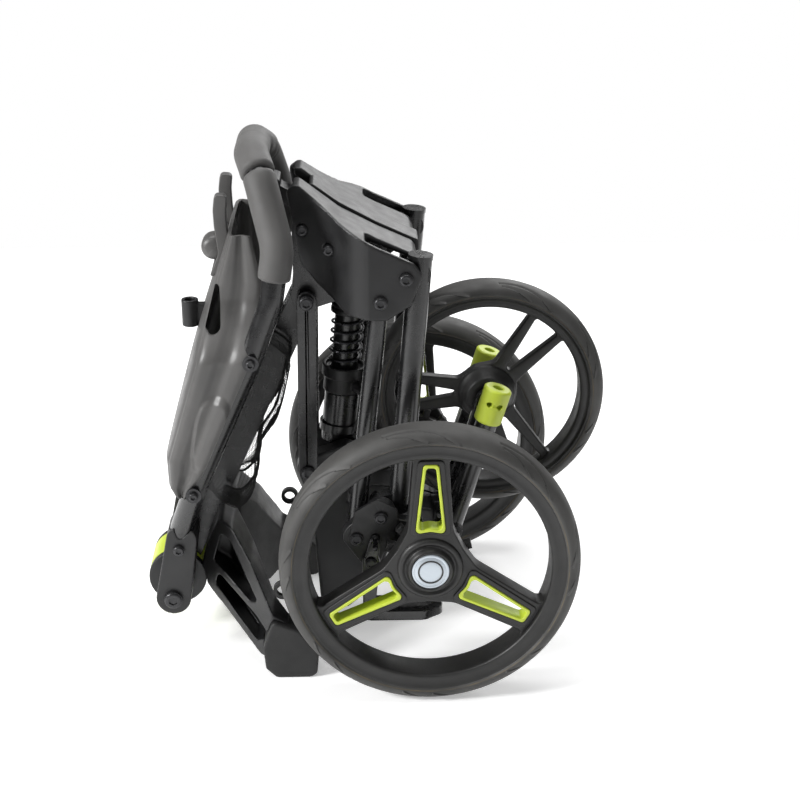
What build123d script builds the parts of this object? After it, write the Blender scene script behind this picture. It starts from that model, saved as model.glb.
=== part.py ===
"""Three-wheel golf push trolley, folded to its storage shape.

Frame: +Z up, +X towards the front wheel, Y across the trolley.
Origin: floor level, middle of the bounding box. Millimetres throughout.
Sides: "right" is -Y, "left" is +Y. The right side is drawn and mirrored.
"""
from build123d import *
import math
import os

# ---------------------------------------------------------------- driving dimensions
# rear wheels
REAR_X, WHEEL_R, TRACK_Y = 50.0, 140.0, 145.4      # axle x, tyre radius, wheel mid-plane |y|
RIM_R, RIM_IN_R, TYRE_HALF_W = 124.0, 112.0, 20.0
HUB_R, AXLE_R, RUN_FIT = 31.0, 6.0, 0.05
# front wheel
FRONT_X, FRONT_Z, FRONT_R = 112.0, 252.0, 115.0
FRONT_RIM_R, FRONT_RIM_IN_R, FRONT_HALF_W = 100.0, 91.0, 18.0
# pivots in the X-Z plane
TOP_HINGE = (-61.5, 363.0)        # upper spine and side bars on the middle bracket
TUBE_PIVOT = (-25.0, 375.0)       # main tube on the middle bracket
LINK_RUN = (-2.0, -175.0)         # from a top pivot to the matching bottom pivot
DRUM = (-198.0, 64.0)             # handle hinge at the foot of the upper spine
DRUM_R = 29.0
FORK_PIVOT = (75.0, 128.0)        # front frame on the front housing
LEG_PIN, LEG_FOOT = (29.5, 399.0), (5.6, 168.0)
STRUT_PIN = (6.5, 377.0)          # second leg pin; its foot pin keeps the parallelogram
LEG_CAP = (43.0, 413.0)           # top of the leg tube
PEDAL_PIN = (-4.0, 122.0)
PEG = (0.0, 146.0)                # brake peg above the pedal pin
LATCH_PIN = (-68.0, 447.0)
# sections
LEG_Y, LEG_R, STRUT_R = 76.5, 11.0, 8.8
TUBE_R, INNER_R = 17.0, 13.0
ARM_Y, ARM_R, CAP_R = 50.5, 10.5, 13.5      # tubes that carry the foot of the bag
HANDLE_R, GRIP_R, CROWN_R = 11.0, 15.0, 16.0
PIN_R = 4.0
GAP = 0.4                         # air between pieces that move past each other

BAR_FOOT = (TOP_HINGE[0] + LINK_RUN[0], TOP_HINGE[1] + LINK_RUN[1])
TUBE_FOOT = (TUBE_PIVOT[0] + LINK_RUN[0], TUBE_PIVOT[1] + LINK_RUN[1])
STRUT_FOOT = (STRUT_PIN[0] + LEG_FOOT[0] - LEG_PIN[0], STRUT_PIN[1] + LEG_FOOT[1] - LEG_PIN[1])


# ---------------------------------------------------------------- helpers
def side_plane(y, x=0.0, z=0.0):
    """Sketch plane across Y: its X is +X, its Y is +Z, it extrudes towards -Y."""
    return Plane((x, y, z), x_dir=(1, 0, 0), z_dir=(0, -1, 0))


def disc(centre, radius, y0, y1):
    """Cylinder along Y between y0 and y1."""
    low, high = min(y0, y1), max(y0, y1)
    shape = Cylinder(radius, high - low, align=(Align.CENTER, Align.CENTER, Align.MIN))
    return side_plane(high, *centre) * shape


def slab(points, y0, y1, corner=0.0):
    """Outline in X-Z extruded from y0 to y1, corners rounded."""
    low, high = min(y0, y1), max(y0, y1)
    face = make_face(Polyline(*points, close=True))
    if corner:
        face = fillet(face.vertices(), corner)
    return extrude(side_plane(high) * face, high - low)


def hull(circles, y0, y1):
    """Plate that wraps a row of circles given as ((x, z), radius)."""
    low, high = min(y0, y1), max(y0, y1)
    edges = []
    for (x, z), radius in circles:
        edges += (Pos(x, z) * Circle(radius)).edges()
    return extrude(side_plane(high) * make_hull(edges), high - low)


def rod(start, end, radius):
    """Round bar between two points in space."""
    line = Line(start, end)
    return sweep(Plane(origin=start, z_dir=line % 0) * Circle(radius), path=line)


def mirrored(shape):
    return mirror(shape, about=Plane.XZ)


def both(shape):
    return [shape, mirrored(shape)]


def spin(profile, plane):
    """Revolve an (r, along) outline about a plane's normal."""
    return plane * revolve(Plane.XZ * make_face(profile), Axis.Z, 360)


def save(name, *shapes):
    solids = []
    for shape in shapes:
        for item in shape if isinstance(shape, (list, tuple)) else [shape]:
            solids += item.solids()
    export_step(Compound(children=solids) if len(solids) > 1 else solids[0], f"parts/{name}.step")


def save_pair(name, shape):
    """The right-hand piece and its mirror image as two nodes."""
    save(f"{name}_right", shape)
    save(f"{name}_left", mirrored(shape))


# ---------------------------------------------------------------- rear wheels
def rear_wheel():
    plane = side_plane(-TRACK_Y, REAR_X, WHEEL_R)
    lip, seat, edge = RIM_R + 3, 14.5, 17.0
    ring = spin(Polyline((RIM_IN_R, -14), (RIM_IN_R + 2, -edge), (lip, -edge), (lip, -seat),
                         (RIM_R, -seat), (RIM_R, seat), (lip, seat), (lip, edge),
                         (RIM_IN_R + 2, edge), (RIM_IN_R, 14), close=True), plane)
    boss = plane * Pos(0, 0, -22) * Cylinder(HUB_R, 38, align=(Align.CENTER, Align.CENTER, Align.MIN))
    teeth = Part() + [Rot(0, 0, 15 + 30 * step) * Pos(35, 0, -17.5) * Box(12, 7, 9) for step in range(12)]
    rim = ring + boss + plane * teeth
    inserts = []
    for angle in (90, 210, 330):
        turn = plane * Rot(0, 0, angle)
        spoke = Polyline((25, -23), (113, -16), (113, 16), (25, 23), close=True)
        arm = turn * Pos(0, 0, -9) * extrude(make_face(spoke), 21)
        window = fillet(make_face(Polyline((38, -13), (102, -7), (102, 7), (38, 13),
                                           close=True)).vertices(), 5)
        hole = turn * Pos(0, 0, -12) * extrude(window, 30)
        rim = rim + arm - hole
        frame = extrude(window, 19) - extrude(offset(window, -3.2), 19)
        inserts.append(turn * Pos(0, 0, -5) * frame)
    rim = rim - plane * Pos(0, 0, -30) * Cylinder(AXLE_R + RUN_FIT, 43,
                                                  align=(Align.CENTER, Align.CENTER, Align.MIN))
    tyre_line = (Polyline((134, 20), (RIM_R + 3.4, 18.6), (RIM_R + 3.4, seat), (RIM_R, seat),
                          (RIM_R, -seat), (RIM_R + 3.4, -seat), (RIM_R + 3.4, -18.6), (134, -20))
                 + ThreePointArc((134, -20), (WHEEL_R, 0), (134, 20)))
    tyre = spin(tyre_line, plane)
    cap = plane * Pos(0, 0, 16) * Cylinder(24, 5, align=(Align.CENTER, Align.CENTER, Align.MIN))
    cap = chamfer(cap.faces().sort_by(Axis.Y)[0].edges(), 2)
    disc_top = plane * Pos(0, 0, 21) * Cylinder(17.5, 3.6, align=(Align.CENTER, Align.CENTER, Align.MIN))
    save_pair("rear_rim", rim)
    save_pair("rear_tyre", tyre)
    save_pair("spoke_inserts", Compound(children=[i for part in inserts for i in part.solids()]))
    save_pair("hub_cap", cap + disc_top)


# ---------------------------------------------------------------- front wheel
def front_wheel():
    plane = side_plane(0, FRONT_X, FRONT_Z)
    lip, seat, edge = FRONT_RIM_R + 2.5, 12.5, 15.0
    ring = spin(Polyline((FRONT_RIM_IN_R, -12), (FRONT_RIM_IN_R + 2, -edge), (lip, -edge), (lip, -seat),
                         (FRONT_RIM_R, -seat), (FRONT_RIM_R, seat), (lip, seat), (lip, edge),
                         (FRONT_RIM_IN_R + 2, edge), (FRONT_RIM_IN_R, 12), close=True), plane)
    hub_line = Polyline((AXLE_R + RUN_FIT, -20), (20, -20), (25, -15), (25, 15), (20, 20),
                        (AXLE_R + RUN_FIT, 20), close=True)
    rim = ring + spin(hub_line, plane)
    for angle in (50, 180, 300):
        for side in (-1, 1):
            inner = (22 * math.cos(math.radians(24 * side)), 22 * math.sin(math.radians(24 * side)))
            outer = (94 * math.cos(math.radians(11 * side)), 94 * math.sin(math.radians(11 * side)))
            length = math.dist(inner, outer)
            lean = math.degrees(math.atan2(outer[1] - inner[1], outer[0] - inner[0]))
            bar = Pos(inner[0], inner[1], 0) * Rot(0, 0, lean) * Pos(length / 2, 0, 0) * Box(length, 8, 11)
            rim = rim + plane * Rot(0, 0, angle) * bar
    rim = rim - disc((FRONT_X, FRONT_Z), AXLE_R + RUN_FIT, -40, 40)
    tyre_line = (Polyline((110, 18), (FRONT_RIM_R + 2.9, 16.6), (FRONT_RIM_R + 2.9, seat),
                          (FRONT_RIM_R, seat), (FRONT_RIM_R, -seat), (FRONT_RIM_R + 2.9, -seat),
                          (FRONT_RIM_R + 2.9, -16.6), (110, -18))
                 + ThreePointArc((110, -18), (FRONT_R, 0), (110, 18)))
    save("front_rim", rim)
    save("front_tyre", spin(tyre_line, plane))


# ---------------------------------------------------------------- legs and wheel carriers
def legs():
    y_in, y_out = -LEG_Y + 8, -LEG_Y - 8
    foot_tube = (24.4, 171.0)
    tube = rod((LEG_CAP[0], -LEG_Y, LEG_CAP[1]), (foot_tube[0], -LEG_Y, foot_tube[1]), LEG_R)
    top = hull([(LEG_PIN, 10.5), ((41.5, 400.0), 11.0)], y_in, y_out)
    foot = hull([(LEG_FOOT, 10.5), (foot_tube, 11.0)], y_in, y_out)
    holes = disc(LEG_PIN, PIN_R + RUN_FIT, -100, -50) + disc(LEG_FOOT, PIN_R + RUN_FIT, -100, -50)
    lean = Plane((LEG_CAP[0], -LEG_Y, LEG_CAP[1]),
                 z_dir=(LEG_CAP[0] - foot_tube[0], 0, LEG_CAP[1] - foot_tube[1]))
    cap = lean * Cylinder(11.6, 4, align=(Align.CENTER, Align.CENTER, Align.MIN))
    cap = cap + lean * Pos(0, 0, -6) * Cylinder(9, 6, align=(Align.CENTER, Align.CENTER, Align.MIN))
    leg = tube + top + foot - holes - cap
    save("leg_tube_right", leg, cap)
    save("leg_tube_left", mirrored(leg), mirrored(cap))

    strut = (rod((STRUT_PIN[0], -LEG_Y, STRUT_PIN[1]), (STRUT_FOOT[0], -LEG_Y, STRUT_FOOT[1]), STRUT_R)
             + disc(STRUT_PIN, 9.5, -LEG_Y + 7, -LEG_Y - 7) + disc(STRUT_FOOT, 9.5, -LEG_Y + 7, -LEG_Y - 7))
    holes = disc(STRUT_PIN, PIN_R + RUN_FIT, -100, -50) + disc(STRUT_FOOT, PIN_R + RUN_FIT, -100, -50)
    save_pair("leg_strut", strut - holes)


def carriers():
    axle = (REAR_X, WHEEL_R)
    body = hull([(LEG_FOOT, 14), (STRUT_FOOT, 13), (PEDAL_PIN, 10)], -89.5, -104)
    body = body + hull([((0, 150), 20), (axle, 15)], -89.5, -104)
    body = body + disc(axle, 15, -104, -121.5)
    pins = disc(LEG_FOOT, PIN_R, -60, -105) + disc(STRUT_FOOT, PIN_R, -60, -105)
    body = body - pins - disc(axle, AXLE_R, -95, -130)
    cover = slab([(-19, 174), (2, 187), (22, 176), (18, 138), (-4, 133), (-26, 138)], -104, -107.5, 6)
    cover = cover - disc(LEG_FOOT, PIN_R, -57, -110) - disc(STRUT_FOOT, PIN_R, -57, -110)
    pins = [disc(p, PIN_R, -67, -107.5) + disc(p, 6.2, -107.5, -110.5) for p in (LEG_FOOT, STRUT_FOOT)]
    shaft = disc(axle, AXLE_R, -95, -156)
    save("wheel_carrier_right", body - disc(PEDAL_PIN, 3.5, -120, -80))
    save("wheel_carrier_left", mirrored(body))
    save_pair("carrier_cover", cover)
    pedal_pin = disc(PEDAL_PIN, 3.5, -90, -113) + disc(PEDAL_PIN, 5.5, -111.4, -114)
    save("carrier_pins_right", pins, shaft, pedal_pin)
    save("carrier_pins_left", [mirrored(pin) for pin in pins], mirrored(shaft))


def brake_pedal():
    """Foot loop on the right-hand carrier that pushes a peg into the brake ring."""
    y_in, y_out = -84.0, -117.0
    pin_hole = disc(PEDAL_PIN, 3.55, -80, -125)
    lever = hull([(PEDAL_PIN, 8.5), ((-6, 74), 6)], -104.5, -111) + hull([(PEDAL_PIN, 7), (PEG, 5)], -108, -111)
    lever = lever - pin_hole
    outline = Polyline((-12, y_out), (48, y_out), (66, -104), (60, y_in), (-12, y_in), close=True)
    ring = fillet(make_face(outline).vertices(), 7)
    inner = offset(ring, -9)
    loop = Plane((0, 0, 62)) * extrude(ring - inner, 10)
    save("brake_pedal", lever + loop + disc(PEG, 2.6, -108, -130))


# ---------------------------------------------------------------- middle bracket
BRACKET_SIDE = [(-78, 468), (-66, 400), (-50, 382), (-24, 361), (12, 359), (34, 374),
                (45, 402), (37, 413), (4, 428), (-30, 446), (-68, 475)]
LEG_WALL_Y = 95.5                 # outer face of the bracket beside the legs


def plan_outline(inset=0.0):
    """Plan of the bracket: narrow at its mouth, flaring out to the leg sockets."""
    flank = [(-84, -46), (-62, -50), (-40, -64), (-20, -86), (-4, -LEG_WALL_Y + 0.6), (62, -LEG_WALL_Y)]
    pts = [(x, y + inset) for x, y in flank]
    right = Spline(*pts[:-1]) + Line(pts[-2], pts[-1])
    left = Spline(*[(x, -y) for x, y in pts[:-1]]) + Line((pts[-2][0], -pts[-2][1]), (pts[-1][0], -pts[-1][1]))
    return make_face(right.edges() + left.edges() + [Line(pts[-1], (pts[-1][0], -pts[-1][1])),
                                                     Line((pts[0][0], -pts[0][1]), pts[0])])


def bracket():
    wall = 4.0
    side = fillet(make_face(Polyline(*BRACKET_SIDE, close=True)).vertices(), 6)
    block = extrude(side_plane(120) * side, 240) & (Plane((0, 0, 300)) * extrude(plan_outline(), 250))
    under = slab([(-90, 340), (70, 340), (70, 396), (4, 421), (-32, 439), (-66, 462), (-90, 480)], -120, 120)
    room = under & (Plane((0, 0, 300)) * extrude(plan_outline(wall), 250))
    shell = block - room
    gate = slab([(-7, 340), (80, 340), (80, 440), (-7, 440)], -63.5, -89.5, 5)
    lobe = hull([(STRUT_PIN, 12), ((40, 384), 12), ((40, 398), 8), ((4, 398), 8)], -57, -63)
    mouth = slab([(-100, 390), (-72, 390), (-72, 480), (-100, 480)], -36, 36)
    mouth = mouth + slab([(-90, 390), (-57, 390), (-57, 480), (-90, 480)], -17, 17)
    ridge_zone = slab([(-59, 500), (-59, 430), (-20, 415), (40, 390), (70, 390), (70, 500)], -17, 17)
    shell = shell - gate - mouth - ridge_zone
    shell = shell & slab([(-120, 300), (120, 300), (120, 500), (-120, 500)], -0.02, -120)
    shell = max(shell.solids(), key=lambda s: s.volume) + lobe
    for pin in (LEG_PIN, STRUT_PIN):
        shell = shell - disc(pin, PIN_R, -120, 0)
    screws = [disc((-64, 432), 5.0, -45.5, -51), disc((-40, 418), 5.0, -58, -68)]
    for item in screws + [core_plates(), latch_pin()]:
        shell = shell - item
    shell = max(shell.solids(), key=lambda s: s.volume)
    save("bracket_shell_right", shell)
    save("bracket_shell_left", mirrored(shell))
    ridge = slab([(-58, 469.5), (-58, 447), (-20, 426), (34, 400), (44, 400), (44, 412), (4, 430.5),
                  (-30, 449)], -16.6, 16.6, 3)
    ridge = ridge - core_plates()
    save("bracket_ridge_cover", max(ridge.solids(), key=lambda s: s.volume))
    save("bracket_core", core_plates() - core_pins(0) - latch_pin())
    save("frame_pins", frame_pins(), latch_pin())
    save("bracket_screws", [both(screw) for screw in screws][0], [both(screw) for screw in screws][1])


def core_plates():
    """Two steel cheeks with a top block: they hold the spine hinge and the tube pivot."""
    cheek = hull([(TOP_HINGE, 12), (TUBE_PIVOT, 12), (LATCH_PIN, 6), ((-12, 406), 8)], -30, -37)
    block = slab([(-50, 414), (-12, 402), (-12, 411), (-48, 425)], -31, 31)
    return cheek + mirrored(cheek) + block


def core_pins(grow):
    return disc(TOP_HINGE, PIN_R + grow, -54, 54) + disc(TUBE_PIVOT, PIN_R + grow, -38, 38)


def frame_pins():
    """Hinge pins with heads: spine hinge, tube pivot and the four leg pins."""
    spine = disc(TOP_HINGE, PIN_R, -52, 52) + disc(TOP_HINGE, 7, -52, -55) + disc(TOP_HINGE, 7, 52, 55)
    tube = disc(TUBE_PIVOT, PIN_R, -37, 37)
    found = [spine, tube]
    for pin in (LEG_PIN, STRUT_PIN):
        found += both(disc(pin, PIN_R, -56, -LEG_WALL_Y) + disc(pin, 6.2, -LEG_WALL_Y, -LEG_WALL_Y - 3))
    return found


# ---------------------------------------------------------------- main tube
TUBE_LINE = (-0.092, -0.9958)
TUBE_START = (-19.0, 372.0)


def on_tube(distance, y=0.0):
    return (TUBE_START[0] + distance * TUBE_LINE[0], y, TUBE_START[1] + distance * TUBE_LINE[1])


def tube_piece(start, end, radius):
    return rod(on_tube(start), on_tube(end), radius)


def main_tube():
    eye = disc(TUBE_PIVOT, 15, -18, 18) - disc(TUBE_PIVOT, PIN_R + RUN_FIT, -40, 40)
    inner = tube_piece(6, 160, INNER_R) + eye
    inner = inner - disc(TUBE_PIVOT, PIN_R + RUN_FIT, -40, 40)
    boot = tube_piece(14, 36, 17.5) - tube_piece(10, 40, INNER_R) - eye
    for ring in (19, 24, 29):
        boot = boot - (tube_piece(ring, ring + 2.2, 20) - tube_piece(ring, ring + 2.2, 16.2))
    inner = inner - tube_piece(132, 170, INNER_R + 1)
    foot = disc(TUBE_FOOT, 13, -17, 17)
    outer = tube_piece(118, 168, TUBE_R) - tube_piece(110, 132, INNER_R) + foot
    outer = outer + tube_piece(150, 158, 19.5)
    outer = outer - disc(TUBE_FOOT, PIN_R + RUN_FIT, -40, 40)
    pitch, turns = 9.6, 5
    helix = Helix(pitch=pitch, height=pitch * turns, radius=15.2)
    start = on_tube(87.5)
    frame = Plane(start, x_dir=(0, 1, 0), z_dir=(-TUBE_LINE[0], 0, -TUBE_LINE[1]))
    wire = sweep(Plane(helix @ 0, z_dir=helix % 0) * Circle(1.2), path=helix, is_frenet=True)
    save("inner_tube", inner)
    save("tube_boot", boot)
    save("outer_tube", outer)
    save("coil_spring", frame * wire)


def lock_collar():
    """Sliding collar under the spring, with the rod that frees the front catch."""
    body = tube_piece(89.5, 101, 21.5) + tube_piece(101, 116.5, 19)
    body = body - tube_piece(80, 125, INNER_R + 0.3) - tube_piece(85, 93, 18)
    rod_top, rod_low = (-6.0, -28.0, 262.0), (-20.0, -28.0, 219.0)
    lug = rod(on_tube(106), rod_top, 5) + rod(rod_top, (-4.0, -28.0, 268.0), 4)
    cable_rod = rod(rod_top, rod_low, 1.6)
    save("lock_collar", body + lug - tube_piece(80, 125, INNER_R + 0.3) - cable_rod, cable_rod)


def side_bars():
    bar = hull([(TOP_HINGE, 9), (BAR_FOOT, 9)], -44, -48.5)
    bar = bar - disc(TOP_HINGE, PIN_R + RUN_FIT, -60, -40) - disc(BAR_FOOT, PIN_R + 0.3, -60, -40)
    save("side_bars", both(bar))


# ---------------------------------------------------------------- front housing
def front_housing():
    """Two moulded halves that carry the side bars, the tube foot and the fork pivot."""
    neck = hull([(BAR_FOOT, 11), (TUBE_FOOT, 12), ((-44, 150), 16)], -20, -40)
    box = slab([(-60, 152), (-58, 96), (-54, 40), (-28, 32), (-2, 54), (14, 96), (60, 113),
                (60, 142), (8, 150)], -0.05, -40, 6)
    arm = hull([((50, 128), 13), (FORK_PIVOT, 12.5)], -0.05, -20)
    half = neck + box + arm
    room = slab([(-52, 146), (-50, 98), (-47, 46), (-29, 40), (-8, 58), (6, 100), (50, 118),
                 (46, 138), (8, 142)], 5, -35, 4)
    half = half - room - disc(FORK_PIVOT, 5 + RUN_FIT, -60, 60)
    half = half - disc(BAR_FOOT, PIN_R, -60, 10) - disc(TUBE_FOOT, PIN_R, -60, 10)
    save("front_housing_right", max(half.solids(), key=lambda s: s.volume))
    save("front_housing_left", mirrored(max(half.solids(), key=lambda s: s.volume)))
    bar_pin = disc(BAR_FOOT, PIN_R, -20, -49) + disc(BAR_FOOT, 7, -49, -52)
    foot_pin = disc(TUBE_FOOT, PIN_R, -39, 39)
    save("housing_pins", both(bar_pin), foot_pin)


# ---------------------------------------------------------------- front frame
def front_frame():
    hub = (FRONT_X, FRONT_Z)
    blade = hull([(FORK_PIVOT, 12), (hub, 13)], -23, -31)
    blade = blade - disc(hub, AXLE_R, -40, 40) - disc(FORK_PIVOT, 5, -80, 80)
    run = ((hub[0] - FORK_PIVOT[0]) / 129.4, (hub[1] - FORK_PIVOT[1]) / 129.4)
    low = (FORK_PIVOT[0] + 4 * run[0], FORK_PIVOT[1] + 4 * run[1])
    top = (FORK_PIVOT[0] + 128 * run[0], FORK_PIVOT[1] + 128 * run[1])
    tip = (FORK_PIVOT[0] + 154 * run[0], FORK_PIVOT[1] + 154 * run[1])
    sleeve = disc(FORK_PIVOT, 11.5, -31, -59) - disc(FORK_PIVOT, 5, -80, 80)
    arm = rod((low[0], -ARM_Y, low[1]), (top[0], -ARM_Y, top[1]), ARM_R) - sleeve
    arm = max(arm.solids(), key=lambda s: s.volume) - disc(FORK_PIVOT, 5, -80, 80)
    start = (top[0] - 10 * run[0], -ARM_Y, top[1] - 10 * run[1])
    end = (tip[0], -ARM_Y, tip[1])
    cap = rod(start, end, CAP_R)
    cap = chamfer(cap.edges().filter_by(GeomType.CIRCLE), 1.5)
    cap = cap - rod(start, (top[0], -ARM_Y, top[1]), ARM_R)
    along = Plane(start, z_dir=(run[0], 0, run[1]))
    cap = cap - along * Pos(0, 0, 22) * Cylinder(5, 30, align=(Align.CENTER, Align.CENTER, Align.MIN))
    eyes = [(start[0] + 21 * run[0] + across * run[1], start[2] + 21 * run[1] - across * run[0])
            for across in (-5, 5)]
    for eye in eyes:
        cap = cap - disc(eye, 2.6, -80, -30)
    cap = cap - hull([(eye, 1.2) for eye in eyes], -80, -62)
    pivot = disc(FORK_PIVOT, 5, -61, 61) + disc(FORK_PIVOT, 9, -61, -63.5) + disc(FORK_PIVOT, 9, 61, 63.5)
    axle = disc(hub, AXLE_R, -35, 35) + disc(hub, 9.5, -31, -35) + disc(hub, 9.5, 31, 35)
    save("fork_blades", both(blade))
    save("bag_arms", both(arm))
    save("arm_caps", both(cap))
    save("fork_sleeves", both(sleeve))
    save("fork_pivot_pin", pivot)
    save("front_axle", axle)


# ---------------------------------------------------------------- upper spine and cradle
def along_spine(distance, across=0.0):
    """Point (x, z) a distance down the spine from the top hinge, offset across it."""
    run = (DRUM[0] - TOP_HINGE[0], DRUM[1] - TOP_HINGE[1])
    length = math.hypot(*run)
    unit = (run[0] / length, run[1] / length)
    return (TOP_HINGE[0] + unit[0] * distance - unit[1] * across,
            TOP_HINGE[1] + unit[1] * distance + unit[0] * across)


def spine():
    channel = slab([along_spine(30, -9.5), along_spine(30, 9.5), along_spine(296, 9.5),
                    along_spine(296, -9.5)], -11.5, 11.5)
    knuckle = disc(TOP_HINGE, 15, -28, 28)
    drum_room = disc(DRUM, DRUM_R, -30, 30)
    beam = spine_block() - channel + knuckle - disc(TOP_HINGE, PIN_R + RUN_FIT, -60, 60) - drum_room
    save("spine_tube", beam)
    drum = disc(DRUM, DRUM_R - 3, -28, 28) - disc(DRUM, 5 + RUN_FIT, -60, 60)
    groove_ring = disc(DRUM, DRUM_R, -20, 20) - disc(DRUM, DRUM_R - 3, -20, 20)
    spine_seat = slab([along_spine(290, -13), along_spine(290, 13), along_spine(330, 13),
                       along_spine(330, -13)], -15, 15)
    drum = drum + (disc(DRUM, DRUM_R, -28, -21) + disc(DRUM, DRUM_R, 21, 28) - disc(DRUM, 5.05, -40, 40))
    save("hinge_drum", drum)
    ring = groove_ring - spine_seat
    save("drum_ring", max(ring.solids(), key=lambda s: s.volume))
    cradle(drum_room)


PAD_OUTLINE = [(-109, 32), (-99, 62), (-74, 52), (-55, 27), (-57, 4), (-63, 0), (-97, 0), (-107, 10)]


def cradle(drum_room):
    """Yoke on the spine with an arm and a rubber pad each side of the bag."""
    saddle = slab([along_spine(248, 13), along_spine(248, 21), along_spine(290, 21), along_spine(290, 13)],
                  -24, 24, 2)
    arm_plan = make_face(Polyline((-176, -15.4), (-136, -15.4), (-84, -92), (-84, -112), (-100, -112),
                                  (-152, -52), (-176, -31), close=True))
    arm_side = slab([(-175, 70), (-166, 108), (-152, 142), (-138, 138), (-120, 112), (-98, 66), (-76, 52),
                     (-80, 30), (-112, 14), (-136, 34), (-158, 52)], -120, 0, 5)
    arm = extrude(arm_plan, 200) & arm_side
    hollow_plan = make_face(Polyline((-170, -24), (-143, -24), (-98, -88), (-98, -125), (-150, -125),
                                     (-170, -60), close=True))
    for hollow in ([(-159, 92), (-150, 126), (-141, 124), (-114, 72), (-122, 68)],
                   [(-158, 66), (-155, 80), (-116, 56), (-102, 40), (-116, 28), (-138, 46)]):
        arm = arm - (extrude(hollow_plan, 200) & slab(hollow, -125, 0, 3))
    pad = slab(PAD_OUTLINE, -88, -117.5, 4)
    arm = arm - pad - disc(DRUM, DRUM_R + 1, -60, 60)
    arm = max(arm.solids(), key=lambda s: s.volume)
    yoke = saddle + arm + mirrored(arm)
    yoke = yoke - drum_room - spine_block()
    save("cradle_yoke", max(yoke.solids(), key=lambda s: s.volume))
    save_pair("cradle_pad", pad)
    band = slab([(-70, 50), (-66, 53), (-82, 84), (-88, 84)], -96, -110, 1)
    band = band - pad
    buckle = disc((-89, 90), 9, -100, -106) - disc((-89, 90), 5.5, -120, -80)
    save("cradle_straps", both(band + buckle))


def spine_block():
    """Full outline of the spine's box section."""
    return slab([along_spine(8, -13), along_spine(8, 13), along_spine(322, 13), along_spine(322, -13)],
                -15, 15, 3)


# ---------------------------------------------------------------- handle
ARM_POINTS = [(-196, -50, 84), (-187, -62, 138), (-170, -84, 189), (-112, -84, 321), (-92, -84, 376),
              (-85, -80, 424), (-101, -54, 484), (-109, -26, 497)]
ARM_BENDS = [28, 28, 50, 50, 45, 26, 20]


def handle_path():
    points = ARM_POINTS + [(x, -y, z) for x, y, z in reversed(ARM_POINTS)]
    return points, ARM_BENDS + list(reversed(ARM_BENDS))


def along_handle(radius):
    """Round bar of the given radius along the whole bent handle."""
    points, bends = handle_path()
    path = FilletPolyline(*points, radius=bends)
    return sweep(Plane(origin=path @ 0, z_dir=path % 0) * Circle(radius), path=path)


def handle():
    tube, grip, crown = along_handle(HANDLE_R), along_handle(GRIP_R), along_handle(CROWN_R)
    save("handle_tube", tube)
    grip_zone = slab([(-160, 395), (-40, 395), (-40, 520), (-160, 520)], -200, -51.2)
    crown_zone = slab([(-160, 440), (-40, 440), (-40, 540), (-160, 540)], -51, 51)
    grip_right = max(((grip & grip_zone) - tube).solids(), key=lambda s: s.volume)
    save_pair("foam_grip", grip_right)
    save("crown_grip", (crown & crown_zone) - tube)
    hinge_sleeves(tube)
    console(along_handle(HANDLE_R + 0.2), grip_right)


def hinge_sleeves(tube):
    """Moulded sleeves on the tube feet that turn on the drum."""
    body = hull([(DRUM, 17), ((-187, 128), 15)], -33, -72)
    body = body + disc(DRUM, 17, -28.4, -33)
    body = body - tube - disc(DRUM, 5, -80, 80)
    body = body & slab([(-240, 40), (-150, 40), (-150, 142), (-240, 142)], -75, 0)
    save("hinge_sleeves", both(max(body.solids(), key=lambda s: s.volume)))
    bolts = [disc(DRUM, 5, -72, 72) + disc(DRUM, 9, -72, -76) + disc(DRUM, 9, 72, 76)]
    for spot in ((-112, 321), (-170, 189)):
        bolts += both(disc(spot, 7.5, -97, -99.5) + disc(spot, 4.5, -99.5, -102))
    bolts += both(disc((-190, 118), 5.5, -72, -75))
    save("handle_bolts", bolts)


CONSOLE_SIDE = [(-131, 431), (-111, 427), (-101, 386), (-103, 350), (-110, 326), (-160, 208), (-184, 182),
                (-196, 194), (-196, 221), (-160, 341)]


def console(tube_room, grip):
    """Moulded tray between the handle arms, open at the back behind a net."""
    side = fillet(make_face(Polyline(*CONSOLE_SIDE, close=True)).vertices(), 7)
    body = extrude(side_plane(97) * side, 194)
    room = slab([(-123, 424), (-60, 440), (-60, 320), (-102, 322), (-152, 206), (-176, 190), (-188, 200),
                 (-188, 222), (-153, 342)], -68, 68, 4)
    body = body - room - tube_room - grip - mirrored(grip)
    drop = hull([((-142.5, 381), 2.2), ((-147, 351), 7.5)], -120, 120)
    body = body - drop
    body = max(body.solids(), key=lambda s: s.volume)
    pod = hull([((-158, 290), 13), ((-172, 250), 13)], -97, -100)
    pod = chamfer(pod.faces().sort_by(Axis.Y)[0].edges(), 2)
    body = body + pod + mirrored(pod)
    save("console_shell", body)
    holder = slab([(-143, 463), (-145.5, 448), (-144.5, 434), (-143, 420), (-142, 408), (-150, 386),
                   (-143, 386), (-130, 405), (-131, 418), (-132.5, 432), (-133, 448), (-131.5, 462)], -42, 42)
    holder = holder - slab([(-160, 419), (-120, 419), (-120, 480), (-160, 480)], -32, 32)
    holder = holder + disc((-146, 412), 11, -39, -16) - body
    save("card_holder", max(holder.solids(), key=lambda s: s.volume))
    socket_axis = Plane((-172, -22, 345))
    bore = socket_axis * Cylinder(5, 60)
    foot = slab([(-168, 336), (-168, 354), (-140, 354), (-140, 336)], -26, -18)
    socket = socket_axis * Cylinder(8, 26) + foot - bore - body - holder
    save("accessory_socket", max(socket.solids(), key=lambda s: s.volume))
    net()


NET_SIDE = [(-118, 330), (-98, 330), (-77, 312), (-94, 252), (-112, 220), (-116, 178), (-134, 156),
            (-158, 166), (-172, 190), (-150, 212), (-112, 300)]


def net():
    lobe = slab(NET_SIDE, -20, -60, 6)
    save("storage_net", both(lobe))


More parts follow.
